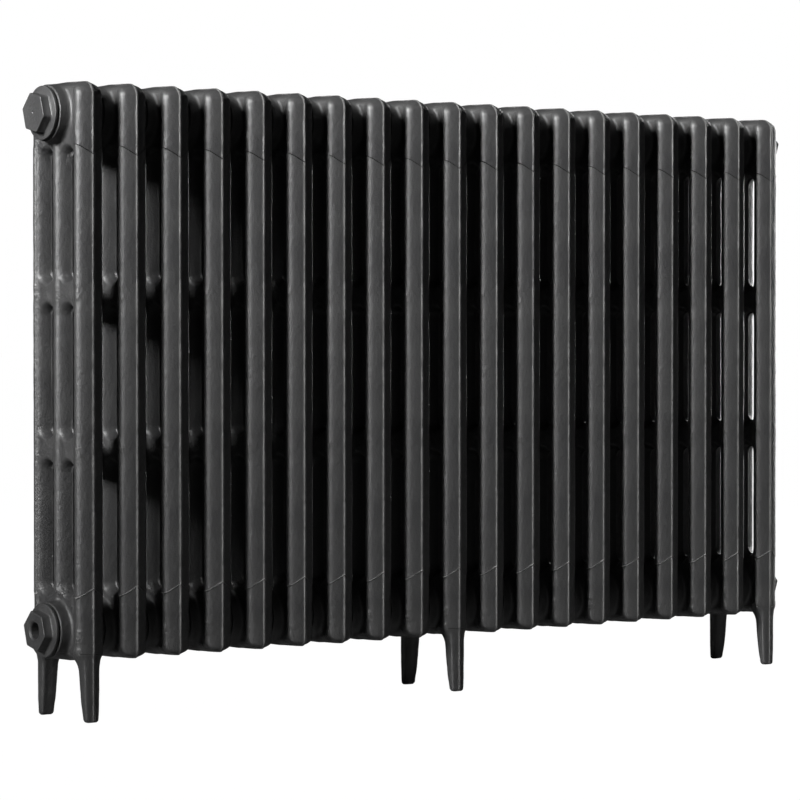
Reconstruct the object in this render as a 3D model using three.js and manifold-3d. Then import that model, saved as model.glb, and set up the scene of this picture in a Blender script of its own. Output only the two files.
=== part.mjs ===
// Cast iron column radiator: nineteen hollow sections screwed together by threaded nipples
// at the two hubs, three of them on legs, with hexagonal end fittings and an air vent.
// Millimetres, +Z up, +X along the radiator, -Y the front. Origin: middle of the footprint.
import * as THREE from 'three';
import { ConvexGeometry } from 'three/addons/geometries/ConvexGeometry.js';
import { mergeVertices } from 'three/addons/utils/BufferGeometryUtils.js';
import Module from 'manifold-3d';

const wasm = await Module();
wasm.setup();

// ---- Driving dimensions -------------------------------------------------------------
const SECTIONS = 19;
const PITCH = 60; // from one section's middle plane to the next
const DEPTH = 115; // front ridge to back ridge
const HALF_THICK = 17.3; // a section's body, each side of its middle plane
const HUB_LOW = 105; // height of the lower hub's axis
const HUB_HIGH = 705; // height of the upper hub's axis
const BODY_TOP = 742; // crown at the middle of the depth
const BODY_BOTTOM = 69;
const CROWN = 2; // fall of the top and bottom edges towards front and back
const CORNER_TOP = 14;
const CORNER_BOTTOM = 8;
const FLANK = 9.5; // how far the body narrows from middle plane to side face

const COLUMNS = 3; // upright water columns across the depth
const COLUMN_WIDTH = 23;
const SLOT_WIDTH = (DEPTH - COLUMNS * COLUMN_WIDTH) / (COLUMNS - 1);
const SLOT_ROWS = [[150, 297], [332, 479], [514, 661]]; // low and high end of each slot
const WALL = 4.5;
const SIDE_WALL = 6; // wall at a column's ridge, where the flanks meet

const BOSS_RADIUS = 33;
const BOSS_FACE = 29.5; // boss face from the middle plane; a 1 mm sealing ring fills the joint
const BORE_RADIUS = 20.5;
const NIPPLE_RADIUS = 20.15;
const NIPPLE_BORE = 15.5;
const NIPPLE_LENGTH = 32;

const LEG_SECTIONS = [1, (SECTIONS + 1) / 2, SECTIONS];
// Cross-sections of a leg: height, depth, half width and how far back its widest line lies.
const LEG_RINGS = [[0, 10.5, 7, 4], [20, 14, 8.4, 5], [56, 18, 10, 6], [84, 24, HALF_THICK - 0.6, 9]];

const RING_GAP = 1.7; // sealing ring between an end boss and its fitting
const FLANGE_RADIUS = 31.4;
const FLANGE_THICK = 4.5;
const HEX_RADIUS = 24.3; // corner radius of a 42 mm hexagon
const HEX_THICK = 10.8;
const HEX_TURN = THREE.MathUtils.degToRad(17); // how far a corner leans back from upright
const SPIGOT_LENGTH = 15;
const PIPE_BORE = 9.3; // half inch pipe thread
const VENT_BORE = 3.4;
const VENT_POCKET = 6.6;
const VENT_POCKET_DEPTH = 7;

const END_X = ((SECTIONS - 1) / 2) * PITCH;

// ---- Materials ----------------------------------------------------------------------
const finish = (color, roughness, metalness) =>
  new THREE.MeshStandardMaterial({ color, roughness, metalness });
const castIron = () => finish(0x3b3b3c, 0.5, 0.25);
const bareIron = () => finish(0x5a5855, 0.55, 0.7);
const brass = () => finish(0xb08d4a, 0.35, 0.9);

// ---- Solids -------------------------------------------------------------------------
// A closed mesh as a boolean solid, without the collapsed triangles of a zero-depth extrusion.
function solid(geometry) {
  let mesh = geometry.clone();
  mesh.deleteAttribute('normal');
  mesh.deleteAttribute('uv');
  mesh = mergeVertices(mesh, 1e-3);
  const corners = mesh.index.array;
  const triangles = [];
  for (let i = 0; i < corners.length; i += 3) {
    const [a, b, c] = corners.slice(i, i + 3);
    if (a !== b && b !== c && c !== a) triangles.push(a, b, c);
  }
  return new wasm.Manifold(new wasm.Mesh({
    numProp: 3,
    vertProperties: new Float32Array(mesh.attributes.position.array),
    triVerts: new Uint32Array(triangles),
  }));
}

function meshGeometry(body) {
  const { vertProperties, triVerts } = body.getMesh();
  const geometry = new THREE.BufferGeometry();
  geometry.setAttribute('position', new THREE.BufferAttribute(vertProperties, 3));
  geometry.setIndex(new THREE.BufferAttribute(triVerts, 1));
  geometry.computeVertexNormals();
  return geometry;
}

// Turns shape x, shape y and extrusion into row Y, Z and X.
const UPRIGHT = new THREE.Matrix4().makeBasis(
  new THREE.Vector3(0, 1, 0), new THREE.Vector3(0, 0, 1), new THREE.Vector3(1, 0, 0));

// A plate in the YZ plane that swells from a ridge at its middle plane to its side faces,
// which lie `flank` inside the outline.
function ridgedPlate(shape, halfThick, flank) {
  const plate = new THREE.ExtrudeGeometry(shape, {
    depth: 0,
    bevelThickness: halfThick,
    bevelSize: flank,
    bevelOffset: -flank,
    bevelSegments: 2,
    curveSegments: 2,
  });
  return solid(plate.applyMatrix4(UPRIGHT));
}

// A cylinder or prism along X, from x0 to x1, around the axis at height z.
function alongX(radius, x0, x1, z, sides, turn = 0) {
  const rod = new THREE.CylinderGeometry(radius, radius, x1 - x0, sides, 1, false, turn);
  rod.rotateZ(-Math.PI / 2);
  rod.translate((x0 + x1) / 2, 0, z);
  return solid(rod);
}

// ---- Section ------------------------------------------------------------------------
function sectionOutline() {
  const front = DEPTH / 2;
  const outline = new THREE.Shape();
  outline.moveTo(0, BODY_BOTTOM);
  outline.lineTo(front - CORNER_BOTTOM, BODY_BOTTOM + CROWN);
  outline.quadraticCurveTo(front, BODY_BOTTOM + CROWN, front, BODY_BOTTOM + CROWN + CORNER_BOTTOM);
  outline.lineTo(front, BODY_TOP - CROWN - CORNER_TOP);
  outline.quadraticCurveTo(front, BODY_TOP - CROWN, front - CORNER_TOP, BODY_TOP - CROWN);
  outline.lineTo(0, BODY_TOP);
  outline.lineTo(CORNER_TOP - front, BODY_TOP - CROWN);
  outline.quadraticCurveTo(-front, BODY_TOP - CROWN, -front, BODY_TOP - CROWN - CORNER_TOP);
  outline.lineTo(-front, BODY_BOTTOM + CROWN + CORNER_BOTTOM);
  outline.quadraticCurveTo(-front, BODY_BOTTOM + CROWN, CORNER_BOTTOM - front, BODY_BOTTOM + CROWN);
  return outline;
}

// An upright slot with rounded ends, as a hole in a plate.
function slot(y, low, high, width) {
  const r = width / 2;
  const rise = r / Math.sin(Math.PI / 3);
  const points = [];
  for (const [centre, turn] of [[high - r, 0], [low + r, Math.PI]]) {
    for (let step = 0; step <= 3; step++) {
      const angle = turn + (step * Math.PI) / 3;
      points.push(new THREE.Vector2(y + r * Math.cos(angle), centre + rise * Math.sin(angle)));
    }
  }
  return new THREE.Path(points);
}

const slotCentres = Array.from({ length: COLUMNS - 1 },
  (_, i) => (i - (COLUMNS - 2) / 2) * (COLUMN_WIDTH + SLOT_WIDTH));

// The water space: two headers joined by one channel in each column.
function waterSpace() {
  const y = DEPTH / 2 - SIDE_WALL;
  const low = BODY_BOTTOM + WALL;
  const high = BODY_TOP - CROWN - WALL;
  const space = new THREE.Shape();
  space.moveTo(WALL - y, low).lineTo(y - WALL, low).lineTo(y, low + 2 * WALL);
  space.lineTo(y, high - 2 * WALL).lineTo(y - 2 * WALL, high).lineTo(2 * WALL - y, high);
  space.lineTo(-y, high - 2 * WALL).lineTo(-y, low + 2 * WALL);
  const islandWidth = SLOT_WIDTH + 2 * SIDE_WALL;
  const islandLow = SLOT_ROWS[0][0] - 2 * WALL;
  const islandHigh = SLOT_ROWS.at(-1)[1] + 2 * WALL;
  for (const centre of slotCentres) space.holes.push(slot(centre, islandLow, islandHigh, islandWidth));
  const halfThick = HALF_THICK - WALL;
  const core = new THREE.ExtrudeGeometry(space, { depth: 2 * halfThick, bevelEnabled: false });
  return solid(core.translate(0, 0, -halfThick).applyMatrix4(UPRIGHT));
}

// A leg: its ridge runs straight down from the column and its back tapers to the sole.
function leg(side) {
  const ring = ([z, depth, halfWidth, widest]) => {
    const inset = z > BODY_BOTTOM ? 0.3 : 0;
    const back = halfWidth * 0.8;
    const outline = [[0, inset], [halfWidth, widest], [back, depth], [-back, depth], [-halfWidth, widest]];
    return outline.map(([x, y]) => new THREE.Vector3(x, side * (DEPTH / 2 - y), z));
  };
  let whole = null;
  for (let i = 1; i < LEG_RINGS.length; i++) {
    const stretch = solid(new ConvexGeometry([...ring(LEG_RINGS[i - 1]), ...ring(LEG_RINGS[i])]));
    whole = whole ? whole.add(stretch) : stretch;
  }
  return whole;
}

function sectionBody(onLegs) {
  const plate = sectionOutline();
  for (const centre of slotCentres) {
    for (const [low, high] of SLOT_ROWS) plate.holes.push(slot(centre, low, high, SLOT_WIDTH));
  }
  let body = ridgedPlate(plate, HALF_THICK, FLANK);
  for (const hub of [HUB_LOW, HUB_HIGH]) {
    body = body.add(alongX(BOSS_RADIUS, -BOSS_FACE, BOSS_FACE, hub, 12, Math.PI / 12));
  }
  if (onLegs) body = body.add(leg(1)).add(leg(-1));
  body = body.subtract(waterSpace());
  for (const hub of [HUB_LOW, HUB_HIGH]) {
    body = body.subtract(alongX(BORE_RADIUS, -BOSS_FACE - 1, BOSS_FACE + 1, hub, 8, Math.PI / 8));
  }
  return meshGeometry(body);
}

// ---- Nipples and end fittings -------------------------------------------------------
function nippleBody() {
  const half = NIPPLE_LENGTH / 2;
  const tube = alongX(NIPPLE_RADIUS, -half, half, 0, 8, Math.PI / 8);
  return meshGeometry(tube.subtract(alongX(NIPPLE_BORE, -half - 1, half + 1, 0, 8, Math.PI / 8)));
}

// A fitting for the +X end, measured from the end boss face: flange, hexagon and spigot.
function fittingBlank() {
  const flangeEnd = RING_GAP + FLANGE_THICK;
  return alongX(NIPPLE_RADIUS, -SPIGOT_LENGTH, RING_GAP + 1, 0, 8, Math.PI / 8)
    .add(alongX(FLANGE_RADIUS, RING_GAP, flangeEnd, 0, 24))
    .add(alongX(HEX_RADIUS, flangeEnd - 1, flangeEnd + HEX_THICK, 0, 6, HEX_TURN));
}

const FITTING_FACE = RING_GAP + FLANGE_THICK + HEX_THICK;

function bushBody() {
  const bore = alongX(PIPE_BORE, -SPIGOT_LENGTH - 1, FITTING_FACE + 1, 0, 12);
  return meshGeometry(fittingBlank().subtract(bore));
}

// The air vent's body: a narrow air way and a pocket that holds the bleed screw.
function ventBody() {
  const airWay = alongX(VENT_BORE, -SPIGOT_LENGTH - 1, FITTING_FACE, 0, 12);
  const pocket = alongX(VENT_POCKET, FITTING_FACE - VENT_POCKET_DEPTH, FITTING_FACE + 1, 0, 16);
  return meshGeometry(fittingBlank().subtract(airWay).subtract(pocket));
}

// The bleed screw: a slotted head in the pocket and a stem down the air way.
function bleedScrew() {
  const head = alongX(VENT_POCKET - 0.6, FITTING_FACE - VENT_POCKET_DEPTH + 0.3,
    FITTING_FACE - 0.5, 0, 16);
  const stem = alongX(VENT_BORE - 0.4, -SPIGOT_LENGTH / 2, FITTING_FACE - 4, 0, 12);
  const slotCut = new THREE.BoxGeometry(4, 20, 1.6);
  slotCut.translate(FITTING_FACE, 0, 0);
  return meshGeometry(head.add(stem).subtract(solid(slotCut)));
}

// ---- Assembly -----------------------------------------------------------------------
const radiator = new THREE.Group();

function place(name, geometry, material, x, z, endSign = 1) {
  const mesh = new THREE.Mesh(geometry, material);
  mesh.name = name;
  mesh.position.set(x, 0, z);
  if (endSign < 0) mesh.rotation.z = Math.PI;
  radiator.add(mesh);
}

const number = (n) => String(n).padStart(2, '0');

const plainSection = sectionBody(false);
const legSection = sectionBody(true);
for (let n = 1; n <= SECTIONS; n++) {
  const shape = LEG_SECTIONS.includes(n) ? legSection : plainSection;
  place(`section_${number(n)}`, shape, castIron(), (n - 1) * PITCH - END_X, 0);
}

const nipple = nippleBody();
for (let n = 1; n < SECTIONS; n++) {
  const joint = (n - 0.5) * PITCH - END_X;
  place(`nipple_bottom_${number(n)}`, nipple, bareIron(), joint, HUB_LOW);
  place(`nipple_top_${number(n)}`, nipple, bareIron(), joint, HUB_HIGH);
}

const endFace = END_X + BOSS_FACE;
place('blank_plug_top_left', meshGeometry(fittingBlank()), castIron(), -endFace, HUB_HIGH, -1);
place('reducing_bush_bottom_left', bushBody(), castIron(), -endFace, HUB_LOW, -1);
place('reducing_bush_bottom_right', bushBody(), castIron(), endFace, HUB_LOW);
place('vent_plug_top_right', ventBody(), castIron(), endFace, HUB_HIGH);
place('bleed_screw', bleedScrew(), brass(), endFace, HUB_HIGH);

export default radiator;
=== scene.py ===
# Looks of the cast iron column radiator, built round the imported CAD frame.
# The row frame is in metres: +X along the radiator, -Y the front, +Z up. Section meshes
# are worked out in millimetres around each section's own middle plane.
import math

import bmesh
import bpy
import numpy as np
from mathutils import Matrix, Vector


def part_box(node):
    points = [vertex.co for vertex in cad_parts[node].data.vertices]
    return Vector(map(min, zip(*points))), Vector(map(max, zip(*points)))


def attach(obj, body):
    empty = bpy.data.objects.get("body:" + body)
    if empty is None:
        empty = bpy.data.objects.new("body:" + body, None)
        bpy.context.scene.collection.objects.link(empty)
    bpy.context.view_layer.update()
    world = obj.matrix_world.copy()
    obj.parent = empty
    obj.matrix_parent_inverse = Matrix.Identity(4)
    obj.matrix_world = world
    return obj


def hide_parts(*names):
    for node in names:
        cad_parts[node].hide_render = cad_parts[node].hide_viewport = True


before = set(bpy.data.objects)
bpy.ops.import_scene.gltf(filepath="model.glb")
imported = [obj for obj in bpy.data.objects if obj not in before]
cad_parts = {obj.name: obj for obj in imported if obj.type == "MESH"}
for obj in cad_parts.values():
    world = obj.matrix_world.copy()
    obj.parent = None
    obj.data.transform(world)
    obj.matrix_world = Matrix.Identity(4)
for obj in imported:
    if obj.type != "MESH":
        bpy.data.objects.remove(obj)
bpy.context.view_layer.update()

# ---- Driving dimensions, in millimetres ---------------------------------------------
MM = 0.001
FIN = 1.1                # height of the parting-line fin above the casting
FIN_HALF = 1.65          # half its width
EDGE = 11.3              # how far in from the middle-plane outline a column's full thickness starts
WEB_EDGE = 9.5           # the same for the webs and headers between the columns
FULLNESS = 2.5           # how square a column is: 2 gives a parabola
CORNER_TOP = 15.0
CORNER_BOTTOM = 7.0
CROWN = 2.0              # fall of the top and bottom edges towards front and back
COLUMN = 22.6            # width of a column at the middle plane
SLOTS = ((149.5, 297.5), (331.5, 479.5), (513.5, 661.5))
BOSS_R = 33.0
BORE_R = 20.5
BORE_FLOOR = 13.0        # how far from the middle plane the hub bore is blind
WITNESS_TOP = 656.6      # height of the core joint line on the front ridge
WITNESS_BOTTOM = 155.6
WITNESS_SLOPE = 0.63
LEDGE = 79.5             # height of the small crease where a leg joins its section
# A leg's height, depth and half width, from the sole up.
LEG_SHAPE = (
    (0, 10.6, 8.1), (3, 11.2, 8.7), (20, 14.2, 9.5), (37, 16.2, 10.1),
    (56, 17.6, 10.5), (66, 18.7, 11), (84, 22, 14),
)
LEG_TOP = LEG_SHAPE[-1][0]

low, high = (np.array(c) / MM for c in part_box("section_02"))
HALF_DEPTH = (high[1] - low[1]) / 2
BOSS_FACE = (high[0] - low[0]) / 2
BODY_LOW = low[2]
BODY_HIGH = high[2]
HALF_THICK = 18.0        # half the thickness of a column
WEB_HALF = 15.2          # half the thickness of the webs and headers
PITCH_DEEP = (2 * (HALF_DEPTH - FIN) - COLUMN) / 2    # spacing of the columns, front to back
HUB_LOW, HUB_HIGH = (
    sum(c[2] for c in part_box(f"nipple_{level}_01")) / 2 / MM for level in ("bottom", "top"))
SECTIONS = sorted(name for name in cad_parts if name.startswith("section_"))
MIDDLES = {name: sum(c[0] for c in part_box(name)) / 2 for name in SECTIONS}
ON_LEGS = {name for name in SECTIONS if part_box(name)[0][2] < 0.01}
BODY = "radiator"


# ---- The section as a field: negative inside the iron -------------------------------
def rounded(a, b, radius):
    """Distance of a corner where faces a and b meet, rounded; negative inside both."""
    qa, qb = a + radius, b + radius
    outside = np.hypot(np.maximum(qa, 0), np.maximum(qb, 0))
    return outside + np.minimum(np.maximum(qa, qb), 0) - radius


def blend(a, b, k):
    """Union of two solids with a fillet of about k."""
    h = np.maximum(k - np.abs(a - b), 0) / k
    return np.minimum(a, b) - h * h * k / 4


def ramp(t, width):
    """0 to 1 over a width centred on zero."""
    s = np.clip(t / width + 0.5, 0, 1)
    return s * s * (3 - 2 * s)


def edge_distance(y, z):
    """How far a point of the middle plane lies inside the casting's outline, fins left off."""
    front = np.abs(y) - (HALF_DEPTH - FIN)
    sag = CROWN * (y / HALF_DEPTH) ** 2
    top = rounded(front, z - (BODY_HIGH - FIN - sag), CORNER_TOP)
    bottom = rounded(front, (BODY_LOW + FIN + sag) - z, CORNER_BOTTOM)
    return -np.maximum(top, bottom)


def past_slots(y, z, inside):
    """The same distance with the slots between the columns counted as outline too."""
    half = (PITCH_DEEP - COLUMN) / 2
    across = np.abs(np.abs(y) - PITCH_DEEP / 2)
    for start, end in SLOTS:
        along = np.maximum(np.abs(z - (start + end) / 2) - ((end - start) / 2 - half), 0)
        inside = np.minimum(inside, np.hypot(across, along) - half)
    return inside


def lens(x, inside, half_thick, edge):
    """Casting that swells from a ridge at its outline to half_thick at edge inside it."""
    u = np.maximum(1 - inside / edge, 0)
    slope = np.hypot(FULLNESS * u ** (FULLNESS - 1) / edge, 1 / half_thick)
    return (u ** FULLNESS + np.abs(x) / half_thick - 1) / slope


def columns(x, y, z, inside):
    """Three upright columns that run unbroken from header to header."""
    strip = COLUMN / 2 - np.minimum(np.abs(y), np.abs(np.abs(y) - PITCH_DEEP))
    ends = 0.7 * np.minimum(BODY_HIGH - FIN - z, z - BODY_LOW - FIN)
    return lens(x, np.minimum(np.minimum(strip, ends), inside), HALF_THICK, EDGE)


def hub(x, y, z, height):
    radius = np.hypot(y, z - height)
    return rounded(radius - BOSS_R - 0.06 * (BOSS_FACE - np.abs(x)), np.abs(x) - BOSS_FACE, 1.2)


def leg(x, y, z):
    """A tapering foot under the front and the back column, with the fin down its ridge."""
    heights, depths, halves = np.array(LEG_SHAPE, float).T
    depth = np.interp(z, heights, depths)
    half_thick = np.interp(z, heights, halves)
    front = HALF_DEPTH - FIN - 0.3 - np.abs(y)
    body = rounded(lens(x, front, half_thick, 4.0 + z / 40), front - depth, 2.8)
    fin = rounded(np.abs(x) - FIN_HALF * 0.7, 0.35 - front - FIN, 0.8)
    fin = np.maximum(fin, front - depth / 2)
    return rounded(rounded(blend(body, fin, 0.5), -z, 2.6), z - LEG_TOP, 3.0)


def waves(x, y, z, seed, shortest, longest, count):
    """Smooth random lumps: plane waves with wavelengths between shortest and longest."""
    rng = np.random.RandomState(seed)
    total = np.zeros_like(x)
    for _ in range(count):
        direction = rng.normal(size=3)
        direction *= 2 * math.pi / (np.linalg.norm(direction) * rng.uniform(shortest, longest))
        total += np.sin(direction[0] * x + direction[1] * y + direction[2] * z + rng.uniform(0, 6.28))
    return total * math.sqrt(2 / count)


def casting(x, y, z, seed):
    """Depth of the sand-cast surface's unevenness, in mm."""
    return 0.035 * waves(x, y, z, seed, 9, 16, 12) + 0.07 * waves(x, y, z, seed + 1, 22, 60, 10)


def lumpy(x, y, z, seed):
    """Where sand has broken away beside the bosses and at the slot ends: 0 to 1."""
    near_top = np.abs(np.hypot(y, z - (HUB_HIGH - 8)) - 42)
    near_low = np.abs(np.hypot(y, z - HUB_LOW) - 44)
    root = np.exp(-(np.minimum(near_top, near_low) / 7) ** 2) * ramp(HUB_HIGH - 14 - z, 16)
    webs = np.exp(-(np.minimum(np.abs(z - 314), np.abs(z - 496)) / 10) ** 2)
    webs = webs * ramp(24 - np.abs(np.abs(y) - 26), 10)
    patches = ramp(waves(x, y, z, seed + 2, 18, 45, 6) - 0.1, 0.9)
    return np.maximum(root, 0.8 * webs) * patches


def witness(x, z):
    """1 in the hub zones, past the slanting lines where the cores met; 0 between them."""
    zone = ramp(z - (WITNESS_TOP + WITNESS_SLOPE * np.abs(x)), 1.2)
    return zone + ramp((WITNESS_BOTTOM - WITNESS_SLOPE * np.abs(x)) - z, 1.2)


def section_field(x, y, z, legs, seed=None):
    outline = edge_distance(y, z)
    inside = past_slots(y, z, outline)
    webs = lens(x, inside, WEB_HALF, WEB_EDGE)
    zone = witness(x, z) * ramp(np.abs(y) - (HALF_DEPTH - 14), 6)
    body = blend(webs, columns(x, y, z, outline) + 0.5 * zone, 3.0)
    if legs:
        body = blend(body, leg(x, y, z), 0.4 + 8.6 * ramp(HALF_DEPTH - np.abs(y) - 7, 7))
    for height in (HUB_LOW, HUB_HIGH):
        body = blend(body, hub(x, y, z, height), 5.0)
    if seed is not None:
        body = body - casting(x, y, z, seed) * ramp(26 - np.abs(x), 4)
    wobble = 0.0 if seed is None else 0.05 * waves(x, y, z, seed + 4, 14, 40, 6)
    fin = rounded(np.abs(x) - FIN_HALF, -inside - FIN + 0.15 + wobble, 1.1)
    body = blend(body, fin, 0.4)
    for height in (HUB_LOW, HUB_HIGH):
        radius = np.hypot(y, z - height)
        body = np.maximum(body, -rounded(radius - BORE_R, BORE_FLOOR - np.abs(x), 0.6))
    return body


# ---- Skinning a field ---------------------------------------------------------------
def spaced(stops):
    """Grid lines from (start, step) pairs; the last pair's start is the end."""
    lines = []
    for (start, step), (end, _) in zip(stops, stops[1:]):
        count = max(1, round((end - start) / step))
        lines += list(start + (end - start) * np.arange(count) / count)
    return np.array(lines + [stops[-1][0]])


def skin(field, axes):
    """Surface net of field over the grid: vertices (n, 3) and quads (m, 4), facing out."""
    grid = np.meshgrid(*axes, indexing="ij")
    value = field(*grid)
    shape = np.array(value.shape) - 1
    total = np.zeros((*shape, 3))
    hits = np.zeros(shape)
    quads = []
    inside = value < 0
    for a in range(3):
        b, c = (a + 1) % 3, (a + 2) % 3
        order = (a, b, c)
        v = value.transpose(order)
        ins = inside.transpose(order)
        crosses = ins[:-1] != ins[1:]
        share = np.where(crosses, v[:-1] / np.where(crosses, v[:-1] - v[1:], 1), 0)
        point = np.stack([g.transpose(order)[:-1] for g in grid], -1)
        step = np.diff(axes[a])[:, None, None]
        point[..., a] += share * step
        sums = total.transpose(*order, 3)
        counts = hits.transpose(order)
        for j in (0, 1):
            for k in (0, 1):
                part = np.s_[:, j:shape[b] + j, k:shape[c] + k]
                sums += np.where(crosses[part][..., None], point[part], 0)
                counts += crosses[part]
        at = np.argwhere(crosses[:, 1:-1, 1:-1]) + (0, 1, 1)
        out = ins[at[:, 0], at[:, 1], at[:, 2]]
        corner = []
        for j, k in ((1, 1), (0, 1), (0, 0), (1, 0)):
            cell = np.empty((len(at), 3), int)
            cell[:, a], cell[:, b], cell[:, c] = at[:, 0], at[:, 1] - j, at[:, 2] - k
            corner.append(np.ravel_multi_index(cell.T, shape))
        quad = np.stack(corner, -1)
        quad[~out] = quad[~out][:, ::-1]
        quads.append(quad)
    used = hits.ravel() > 0
    number = np.cumsum(used) - 1
    points = total.reshape(-1, 3)[used] / hits.ravel()[used][:, None]
    return points, number[np.concatenate(quads)]


def gradient(field, p, reach=0.05):
    slopes = []
    for a in range(3):
        step = np.zeros(3)
        step[a] = reach
        slopes.append((field(*(p + step).T) - field(*(p - step).T)) / (2 * reach))
    return np.stack(slopes, -1)


def settle(field, p, rounds=4, furthest=0.8):
    """Moves points onto the field's surface; returns them and their outward normals."""
    for _ in range(rounds):
        g = gradient(field, p)
        move = -field(*p.T)[:, None] * g / np.maximum((g * g).sum(1, keepdims=True), 0.04)
        length = np.linalg.norm(move, axis=1, keepdims=True)
        p = p + move * np.minimum(1, furthest / np.maximum(length, 1e-9))
    g = gradient(field, p, 0.2)
    return p, g / np.maximum(np.linalg.norm(g, axis=1, keepdims=True), 1e-9)


def mesh_from(name, points, faces, normals=None):
    mesh = bpy.data.meshes.new(name)
    mesh.from_pydata((points * MM).tolist(), [], faces.tolist() if hasattr(faces, "tolist") else faces)
    mesh.shade_smooth()
    if normals is not None:
        mesh.normals_split_custom_set_from_vertices(normals.tolist())
    return mesh


def section_grid(legs):
    """Grid lines: fine at the fin, the side faces, the slot ends and the hubs."""
    half = spaced([(0, 0.75), (1.5, 1.0), (2.5, 2.8), (13.7, 1.4), (19.3, 2.8), (27.6, 0.95), (30.45, 1)])
    across = np.concatenate([-half[:0:-1], half])
    depth = spaced([(-HALF_DEPTH - 2.0, 2.6), (HALF_DEPTH + 2.0, 1)])
    stops = [(-2.0, 2.7), (61, 2.7)] if legs else []
    stops += [(66, 2.6), (164, 7.5), (286, 2.5), (344, 7.5), (468, 2.5), (526, 7.5), (646, 2.5), (745, 1)]
    return across, depth, spaced(stops)


def section_mesh(name, legs, shell, seed):
    def field(x, y, z):
        return section_field(x, y, z, legs, seed)
    points, normals = settle(field, shell[0])
    mesh = mesh_from(name, points, shell[1], normals)
    x, y, z = points.T
    # Fins painted lighter: partly rubbed paint, partly a painted highlight where the fin catches the light;
    # less of it on the legs.
    rubbed_and_sheen = ramp(FIN_HALF + 0.7 - np.abs(x), 0.8) * ramp(-edge_distance(y, z) - 0.35, 0.6)
    rubbed_and_sheen = rubbed_and_sheen * (0.25 + 0.75 * ramp(z - LEDGE, 8))
    crease = np.full_like(x, float(legs))
    for label, value in (("rubbed_and_sheen", rubbed_and_sheen), ("lumpy", lumpy(x, y, z, seed)), ("crease", crease)):
        layer = mesh.attributes.new(label, "FLOAT", "POINT")
        layer.data.foreach_set("value", value)
    return mesh


def plain_field(legs):
    return lambda x, y, z: section_field(x, y, z, legs)


# ---- Turned and hexagonal fittings --------------------------------------------------
ROUND = 96
ANGLES = np.arange(ROUND) * 2 * math.pi / ROUND
HEX_RADIUS = 24.3
HEX_TURN = math.radians(17)
FLANGE_RADIUS = 31.4
RING_GAP = 1.7
FLANGE_THICK = 4.5
HEX_THICK = 10.8
SPIGOT_RADIUS = 19.9
SPIGOT_LENGTH = 15.0
THREAD_PITCH = 1.814
PIPE_RADIUS = 9.6
FACE = RING_GAP + FLANGE_THICK + HEX_THICK


def hexagon(shrink=0.0):
    """Radius of the hexagon at each angle, its corners slightly rounded."""
    flat = HEX_RADIUS * math.cos(math.pi / 6) - shrink
    turn = (ANGLES + HEX_TURN) % (math.pi / 3) - math.pi / 6
    return np.minimum(flat / np.cos(turn), HEX_RADIUS - 0.35 - shrink)


def lathe(rings, close_start=True, close_end=True):
    """Skins rings of (x, radius), outward to the right of the path; a radius may vary by angle."""
    points = []
    for x, radius in rings:
        r = np.broadcast_to(radius, ROUND)
        points.append(np.stack([np.broadcast_to(x, ROUND), r * np.sin(ANGLES), r * np.cos(ANGLES)], -1))
    faces = []
    for i in range(len(rings) - 1):
        for j in range(ROUND):
            k = (j + 1) % ROUND
            faces.append((i * ROUND + j, (i + 1) * ROUND + j, (i + 1) * ROUND + k, i * ROUND + k))
    last = (len(rings) - 1) * ROUND
    if close_start:
        faces.append(tuple(range(ROUND)))
    if close_end:
        faces.append(tuple(range(last + ROUND - 1, last - 1, -1)))
    return np.concatenate(points), faces


def outside_rings():
    """Spigot, flange and hexagon, from the water side to the edge of the outer face."""
    groove = [(-SPIGOT_LENGTH + 0.5 + i * 1.15, SPIGOT_RADIUS - (0.9 if i % 2 else 0.0)) for i in range(12)]
    flange = RING_GAP + FLANGE_THICK
    return [(-SPIGOT_LENGTH, SPIGOT_RADIUS - 1.4)] + groove + [
        (-0.5, 18.6), (RING_GAP, 18.8), (RING_GAP, 24.0), (RING_GAP, FLANGE_RADIUS - 0.7),
        (RING_GAP + 0.15, FLANGE_RADIUS - 0.15), (RING_GAP + 0.5, FLANGE_RADIUS),
        (flange - 1.3, FLANGE_RADIUS), (flange - 1.0, FLANGE_RADIUS - 0.15),
        (flange - 0.8, FLANGE_RADIUS - 0.5), (flange - 0.35, 28.0), (flange, hexagon() + 0.25),
        (flange + 0.25, hexagon()), (FACE - 1.2, hexagon()), (FACE - 0.45, hexagon(0.12)),
        (FACE - 0.1, hexagon(0.5)), (FACE, hexagon(1.1))]


def turned_face(inner):
    """Faint lathe rings on the outer face, from the hexagon's edge in to radius inner."""
    radii = np.linspace(19.6, inner, max(3, int((19.6 - inner) / 0.8)))
    return [(FACE - 0.02 - 0.07 * (i % 2) - 0.05 * math.sin(r), r) for i, r in enumerate(radii)]


def plug_mesh(name):
    centre = [(FACE - 0.05, 1.5), (FACE - 0.6, 0.9), (FACE - 0.9, 0.2)]
    return mesh_from(name, *lathe(outside_rings() + turned_face(2.6) + centre))


def thread_radius(x):
    """Pipe thread: the radius swings between crest and root once per pitch and turn."""
    phase = (x / THREAD_PITCH + ANGLES / (2 * math.pi)) % 1
    return PIPE_RADIUS - 0.25 + 1.1 * np.abs(phase - 0.5)


def bush_mesh(name):
    mouth = [(FACE, 11.6), (FACE - 0.3, 11.2), (FACE - 1.4, 10.3)]
    steps = np.arange(FACE - 1.9, -SPIGOT_LENGTH + 0.6, -THREAD_PITCH / 4)
    threads = [(x, thread_radius(x)) for x in steps]
    rings = outside_rings() + turned_face(12.4) + mouth + threads + [(-SPIGOT_LENGTH, 9.8)]
    return mesh_from(name, *lathe(rings + rings[:1], False, False))


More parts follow.
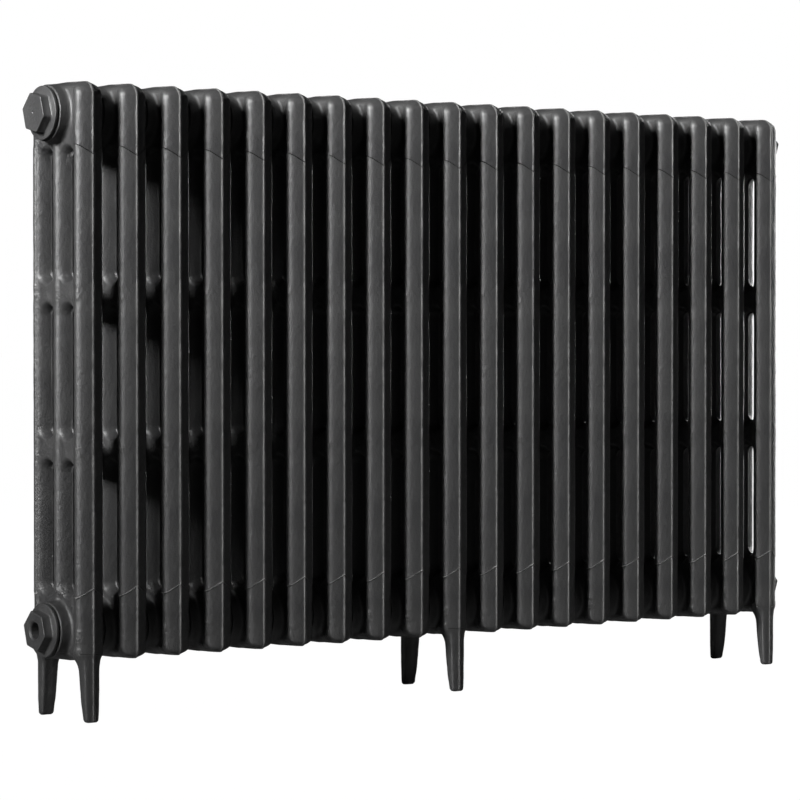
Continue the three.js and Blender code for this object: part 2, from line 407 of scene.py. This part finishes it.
def vent_mesh(name):
    pocket = FACE - 7.0
    inner = [(FACE, 7.4), (FACE - 0.5, 6.8), (FACE - 0.9, 6.6), (pocket + 0.3, 6.6),
             (pocket, 6.3), (pocket, 3.6), (pocket - 0.3, 3.4), (-SPIGOT_LENGTH, 3.4)]
    rings = outside_rings() + turned_face(8.0) + inner
    return mesh_from(name, *lathe(rings + rings[:1], False, False))


def screw_mesh(name):
    """Bleed screw: stem, domed head and a driver's slot cut across it."""
    head = FACE - 6.7
    rings = [(-7.5, 1.2), (-6.2, 2.7), (head, 3.0), (head, 5.5), (head + 0.3, 6.0), (FACE - 1.6, 6.0),
             (FACE - 0.9, 5.6), (FACE - 0.55, 4.4), (FACE - 0.5, 2.2), (FACE - 0.5, 0.3)]
    mesh = mesh_from(name, *lathe(rings))
    bm = bmesh.new()
    bm.from_mesh(mesh)
    for side in (-1, 1):
        bmesh.ops.bisect_plane(bm, geom=bm.verts[:] + bm.edges[:] + bm.faces[:], dist=1e-7,
                               plane_co=(0, side * 0.8 * MM, 0), plane_no=(0, 1, 0))
    floor = (FACE - 2.2) * MM
    for vert in bm.verts:
        if abs(vert.co.y) < 0.79 * MM and vert.co.x > floor:
            vert.co.x = floor
    bm.to_mesh(mesh)
    bm.free()
    mesh.set_sharp_from_angle(angle=math.radians(35))
    return mesh


def ring_mesh(name, start, end, outer):
    """A flat sealing ring that bulges a little between the faces that clamp it."""
    middle = (start + end) / 2
    rings = [(start, 21.2), (start, outer - 0.3), (middle, outer), (end, outer - 0.3),
             (end, 21.2), (middle, 21.0)]
    return mesh_from(name, *lathe(rings + rings[:1], False, False))


# ---- Materials ----------------------------------------------------------------------
class Nodes:
    """A material's node tree with short calls for the nodes used here."""

    def __init__(self, name, roughness, metallic):
        self.material = bpy.data.materials.new(name)
        self.material.use_nodes = True
        self.tree = self.material.node_tree
        self.shader = self.tree.nodes["Principled BSDF"]
        self.shader.inputs["Metallic"].default_value = metallic
        self.shader.inputs["Roughness"].default_value = roughness
        self.place = self.tree.nodes.new("ShaderNodeTexCoord").outputs["Object"]

    def link(self, source, target):
        self.tree.links.new(source, target)

    def noise(self, scale, detail=4.0, rough=0.55, spread=None):
        node = self.tree.nodes.new("ShaderNodeTexNoise")
        node.inputs["Scale"].default_value = scale
        node.inputs["Detail"].default_value = detail
        node.inputs["Roughness"].default_value = rough
        self.link(self.stretch(spread) if spread else self.place, node.inputs["Vector"])
        return node.outputs["Fac"]

    def stretch(self, spread):
        node = self.tree.nodes.new("ShaderNodeMapping")
        node.inputs["Scale"].default_value = spread
        self.link(self.place, node.inputs["Vector"])
        return node.outputs["Vector"]

    def pits(self, scale, size):
        """1 in scattered round pits, 0 elsewhere."""
        node = self.tree.nodes.new("ShaderNodeTexVoronoi")
        node.inputs["Scale"].default_value = scale
        self.link(self.place, node.inputs["Vector"])
        return self.spread(node.outputs["Distance"], size, size * 0.3, 0.0, 1.0)

    def spread(self, value, low, high, to_low, to_high):
        node = self.tree.nodes.new("ShaderNodeMapRange")
        for socket, number in zip(("From Min", "From Max", "To Min", "To Max"), (low, high, to_low, to_high)):
            node.inputs[socket].default_value = number
        self.link(value, node.inputs["Value"])
        return node.outputs["Result"]

    def math(self, operation, a, b):
        node = self.tree.nodes.new("ShaderNodeMath")
        node.operation = operation
        for socket, value in zip(node.inputs, (a, b)):
            if isinstance(value, (int, float)):
                socket.default_value = value
            else:
                self.link(value, socket)
        return node.outputs["Value"]

    def attribute(self, name):
        node = self.tree.nodes.new("ShaderNodeAttribute")
        node.attribute_name = name
        return node.outputs["Fac"]

    def mix(self, share, a, b):
        node = self.tree.nodes.new("ShaderNodeMix")
        node.data_type = "RGBA"
        self.link(share, node.inputs["Factor"])
        for socket, colour in ((node.inputs["A"], a), (node.inputs["B"], b)):
            if isinstance(colour, tuple):
                socket.default_value = (*colour, 1)
            else:
                self.link(colour, socket)
        return node.outputs["Result"]

    def bump(self, height, strength, distance, base=None):
        node = self.tree.nodes.new("ShaderNodeBump")
        node.inputs["Strength"].default_value = strength
        node.inputs["Distance"].default_value = distance
        self.link(height, node.inputs["Height"])
        if base is not None:
            self.link(base, node.inputs["Normal"])
        return node.outputs["Normal"]

    def colour(self, value):
        self.link(value, self.shader.inputs["Base Color"])

    def rough(self, value):
        self.link(value, self.shader.inputs["Roughness"])

    def normal(self, value):
        self.link(value, self.shader.inputs["Normal"])


def core_lines(n):
    """Heights over the core joints by the top hub, by the bottom hub (downwards) and on a leg;
    then two masks, for the front and back ridges and for a section's left half, the side the key light falls
    on, which takes the painted highlight."""
    split = n.tree.nodes.new("ShaderNodeSeparateXYZ")
    n.link(n.place, split.inputs["Vector"])
    slant = n.math("MULTIPLY", n.math("ABSOLUTE", split.outputs["X"], 0), WITNESS_SLOPE)
    front = n.spread(n.math("ABSOLUTE", split.outputs["Y"], 0),
                     (HALF_DEPTH - 17) * MM, (HALF_DEPTH - 13) * MM, 0, 1)
    up = n.math("SUBTRACT", n.math("SUBTRACT", split.outputs["Z"], slant), WITNESS_TOP * MM)
    down = n.math("SUBTRACT", WITNESS_BOTTOM * MM, n.math("ADD", split.outputs["Z"], slant))
    bend = n.spread(n.noise(40, 2), 0, 1, -0.004, 0.004)
    ledge = n.math("ADD", n.math("SUBTRACT", split.outputs["Z"], LEDGE * MM), bend)
    left = n.spread(split.outputs["X"], -0.001, 0.002, 1, 0)
    return up, down, ledge, front, left


def painted_casting(fitting=False):
    """Anthracite satin paint over rough sand-cast iron, lighter on the fins (rubbed paint and a painted
    highlight), with a painted highlight along the bottom core joint line and painted shade along the top one
    and in the leg crease.
    """
    n = Nodes("painted_fitting" if fitting else "painted_casting", 0.45, 0.0)
    cloud = n.spread(n.noise(22, 3), 0.35, 0.65, 0.0, 1.0)
    tone = n.mix(cloud, (0.019, 0.019, 0.0195), (0.028, 0.028, 0.028))
    speck = n.spread(n.noise(900, 2), 0.62, 0.75, 0.0, 0.6)
    tone = n.mix(speck, tone, (0.045, 0.045, 0.044))
    height = n.bump(n.noise(560, 4, 0.6), 0.5, 0.0005)
    height = n.bump(n.noise(190, 3), 0.6, 0.0012, height)
    if not fitting:
        # Fins lighter: rubbed paint and a painted highlight.
        rubbed_and_sheen = n.math("MULTIPLY", n.attribute("rubbed_and_sheen"), n.spread(n.noise(60, 3), 0.3, 0.6, 0.35, 1.0))
        tone = n.mix(rubbed_and_sheen, tone, (0.10, 0.10, 0.098))
        height = n.bump(n.pits(75, 0.16), 0.25, -0.0005, height)
        up, down, ledge, front, left = core_lines(n)
        lumps = n.math("MULTIPLY", n.attribute("lumpy"), n.noise(230, 2))
        height = n.bump(lumps, 1.0, 0.0022, height)
        # A lighter line along the bottom core joint, on the left half only: a painted highlight on the step
        # that faces up into the light.
        line = n.math("MULTIPLY", n.spread(n.math("ABSOLUTE", down, 0), 0.0005, 0.0011, 1, 0), front)
        painted_highlight = n.math("MULTIPLY", line, n.spread(n.noise(45, 3), 0.35, 0.6, 0.4, 1.0))
        painted_highlight = n.math("MULTIPLY", painted_highlight, left)
        tone = n.mix(painted_highlight, tone, (0.34, 0.34, 0.335))
        # A dark line along the top core joint and in the leg crease: painted shade under the downward step
        # and in the crease.
        painted_shade = n.math("MULTIPLY", n.spread(n.math("ABSOLUTE", up, 0), 0.0002, 0.0008, 1, 0), front)
        crease_shade = n.spread(n.math("ABSOLUTE", ledge, 0), 0.0002, 0.0009, 1, 0)
        crease_shade = n.math("MULTIPLY", crease_shade, n.attribute("crease"))
        painted_shade = n.math("MAXIMUM", painted_shade, n.math("MULTIPLY", crease_shade, n.spread(n.noise(70, 3), 0.4, 0.6, 0.1, 0.9)))
        tone = n.mix(n.math("MULTIPLY", painted_shade, 0.55), tone, (0.006, 0.006, 0.006))
        steps = n.math("ADD", n.spread(up, -0.0004, 0.0004, 1, 0), n.spread(down, -0.0004, 0.0004, 1, 0))
        height = n.bump(n.math("MULTIPLY", steps, front), 1.0, 0.0006, height)
        height = n.bump(n.math("SUBTRACT", line, painted_shade), 1.0, 0.0007, height)
    n.colour(tone)
    n.rough(n.spread(n.noise(140, 4), 0.3, 0.7, 0.45, 0.57))
    n.normal(height)
    return n.material


def bare_iron():
    n = Nodes("bare_iron", 0.5, 1.0)
    n.colour(n.mix(n.spread(n.noise(90), 0.35, 0.65, 0.0, 1.0), (0.16, 0.15, 0.14), (0.27, 0.25, 0.23)))
    n.rough(n.spread(n.noise(200), 0.3, 0.7, 0.42, 0.62))
    n.normal(n.bump(n.noise(700), 0.3, 0.0003))
    return n.material


def sealing_fibre():
    n = Nodes("sealing_fibre", 0.8, 0.0)
    n.colour(n.mix(n.spread(n.noise(160), 0.35, 0.65, 0.0, 1.0), (0.010, 0.010, 0.010), (0.02, 0.02, 0.02)))
    n.rough(n.spread(n.noise(300), 0.3, 0.7, 0.7, 0.9))
    n.normal(n.bump(n.noise(1500), 0.4, 0.0003))
    return n.material


def turned_brass():
    n = Nodes("turned_brass", 0.3, 1.0)
    n.colour(n.mix(n.spread(n.noise(150), 0.35, 0.7, 0.0, 1.0), (0.62, 0.42, 0.15), (0.45, 0.29, 0.10)))
    n.rough(n.spread(n.noise(400), 0.3, 0.7, 0.26, 0.42))
    n.normal(n.bump(n.noise(1800, 2, 0.5, (1.0, 0.15, 0.15)), 0.2, 0.0002))
    return n.material


def floor_paint():
    """Pale matt floor that the camera sees evenly lit; little of its light reaches the object."""
    n = Nodes("floor_paint", 0.9, 0.0)
    n.colour(n.mix(n.spread(n.noise(3, 3), 0.3, 0.7, 0.0, 1.0), (0.18, 0.18, 0.18), (0.20, 0.20, 0.20)))
    glow = n.tree.nodes.new("ShaderNodeEmission")
    glow.inputs["Strength"].default_value = 1.04
    rays = n.tree.nodes.new("ShaderNodeLightPath")
    share = n.tree.nodes.new("ShaderNodeMixShader")
    n.link(n.math("MULTIPLY", rays.outputs["Is Camera Ray"], 0.96), share.inputs["Fac"])
    n.link(n.shader.outputs["BSDF"], share.inputs[1])
    n.link(glow.outputs["Emission"], share.inputs[2])
    n.link(share.outputs["Shader"], n.tree.nodes["Material Output"].inputs["Surface"])
    return n.material


# ---- Assembly -----------------------------------------------------------------------
def piece(name, mesh, material, nodes=(), at=(0, 0, 0), turned=False, body=BODY):
    obj = bpy.data.objects.new(name, mesh)
    bpy.context.scene.collection.objects.link(obj)
    obj.location = at
    if turned:
        obj.rotation_euler.z = math.pi
    if not mesh.materials:
        mesh.materials.append(material)
    bpy.context.view_layer.update()
    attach(obj, body)
    if nodes:
        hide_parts(*nodes)
    return obj


CASTING = painted_casting()
FITTING = painted_casting(fitting=True)
IRON = bare_iron()
FIBRE = sealing_fibre()
BRASS = turned_brass()
VARIANTS = 5


def build_sections():
    shells = {legs: skin(plain_field(legs), section_grid(legs)) for legs in (False, True)}
    meshes = {}
    for count, name in enumerate(SECTIONS):
        legs = name in ON_LEGS
        key = (legs, count if legs else count % VARIANTS)
        if key not in meshes:
            meshes[key] = section_mesh(f"{name}_casting", legs, shells[legs], 100 + 17 * len(meshes))
        piece(f"{name}_casting", meshes[key], CASTING, [name], (MIDDLES[name], 0, 0))


def build_fittings():
    low_x, high_x = (MIDDLES[SECTIONS[i]] + sign * BOSS_FACE * MM for i, sign in ((0, -1), (-1, 1)))
    for node, make, x, height, body in (
            ("blank_plug_top_left", plug_mesh, low_x, HUB_HIGH, BODY),
            ("reducing_bush_bottom_left", bush_mesh, low_x, HUB_LOW, BODY),
            ("reducing_bush_bottom_right", bush_mesh, high_x, HUB_LOW, BODY),
            ("vent_plug_top_right", vent_mesh, high_x, HUB_HIGH, BODY)):
        piece(f"{node}_fitting", make(node), FITTING, [node],
              (x, 0, height * MM), x < 0, body)
    piece("bleed_screw_turned", screw_mesh("bleed_screw_turned"), BRASS, ["bleed_screw"],
          (high_x, 0, HUB_HIGH * MM), False, "bleed_screw")


def build_rings():
    gap = (MIDDLES[SECTIONS[1]] - MIDDLES[SECTIONS[0]]) / MM / 2 - BOSS_FACE
    joint = ring_mesh("joint_ring", -gap + 0.02, gap - 0.02, 30.2)
    end = ring_mesh("end_ring", 0.02, RING_GAP - 0.02, 27.0)
    places = [MIDDLES[name] for name in SECTIONS]
    for level, height in (("bottom", HUB_LOW), ("top", HUB_HIGH)):
        for number, (a, b) in enumerate(zip(places, places[1:]), 1):
            piece(f"joint_ring_{level}_{number:02d}", joint, FIBRE, (), ((a + b) / 2, 0, height * MM))
        for side, x in (("left", places[0] - BOSS_FACE * MM), ("right", places[-1] + BOSS_FACE * MM)):
            piece(f"end_ring_{level}_{side}", end, FIBRE, (), (x, 0, height * MM), x < 0)


def finish_nipples():
    for name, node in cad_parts.items():
        if name.startswith("nipple_"):
            node.data.materials.clear()
            node.data.materials.append(IRON)


build_sections()
build_fittings()
build_rings()
finish_nipples()


# ---- Studio -------------------------------------------------------------------------
def build_floor():
    mesh = bpy.data.meshes.new("studio_floor")
    reach = 60.0
    corners = [(-reach, -reach, 0), (reach, -reach, 0), (reach, reach, 0), (-reach, reach, 0)]
    mesh.from_pydata(corners, [], [(0, 1, 2, 3)])
    mesh.materials.append(floor_paint())
    floor = bpy.data.objects.new("studio_floor", mesh)
    bpy.context.scene.collection.objects.link(floor)


def soft_light(name, size, power, place, target=(0, 0, 0.37), beam=180):
    light = bpy.data.lights.new(name, "AREA")
    light.shape = "RECTANGLE"
    light.size, light.size_y = size
    light.energy = power
    light.spread = math.radians(beam)
    obj = bpy.data.objects.new(name, light)
    bpy.context.scene.collection.objects.link(obj)
    direction = np.array(place) - np.array(target)
    yaw = math.atan2(direction[1], direction[0]) + math.pi / 2
    pitch = math.atan2(np.hypot(direction[0], direction[1]), direction[2])
    obj.location = place
    obj.rotation_euler = (pitch, 0, yaw)


def build_world():
    world = bpy.data.worlds.new("studio")
    world.use_nodes = True
    tree = world.node_tree
    background = tree.nodes["Background"]
    rays = tree.nodes.new("ShaderNodeLightPath")
    strength = tree.nodes.new("ShaderNodeMapRange")
    strength.inputs["To Min"].default_value = 0.012
    strength.inputs["To Max"].default_value = 1.0
    tree.links.new(rays.outputs["Is Camera Ray"], strength.inputs["Value"])
    tree.links.new(strength.outputs["Result"], background.inputs["Strength"])
    background.inputs["Color"].default_value = (1, 1, 1, 1)
    bpy.context.scene.world = world


def build_camera():
    camera = bpy.data.cameras.new("camera")
    camera.lens = 143.59
    camera.sensor_width = 36
    camera.clip_end = 200
    obj = bpy.data.objects.new("camera", camera)
    bpy.context.scene.collection.objects.link(obj)
    obj.location = (-2.4995, -3.1857, 0.4458)
    obj.rotation_euler = (math.radians(90 - 1.134), 0, math.radians(-37.54))
    bpy.context.scene.camera = obj


build_floor()
build_world()
build_camera()
soft_light("key", (1.3, 2.0), 90, (-4.45, -0.85, 2.7), (0, 0, 1.5), 40)
soft_light("fill", (3.0, 2.0), 6, (-1.5, -5.0, 2.5))
soft_light("back", (2.6, 1.6), 210, (3.7, 1.7, 1.0))
bpy.context.scene.view_settings.view_transform = "Standard"
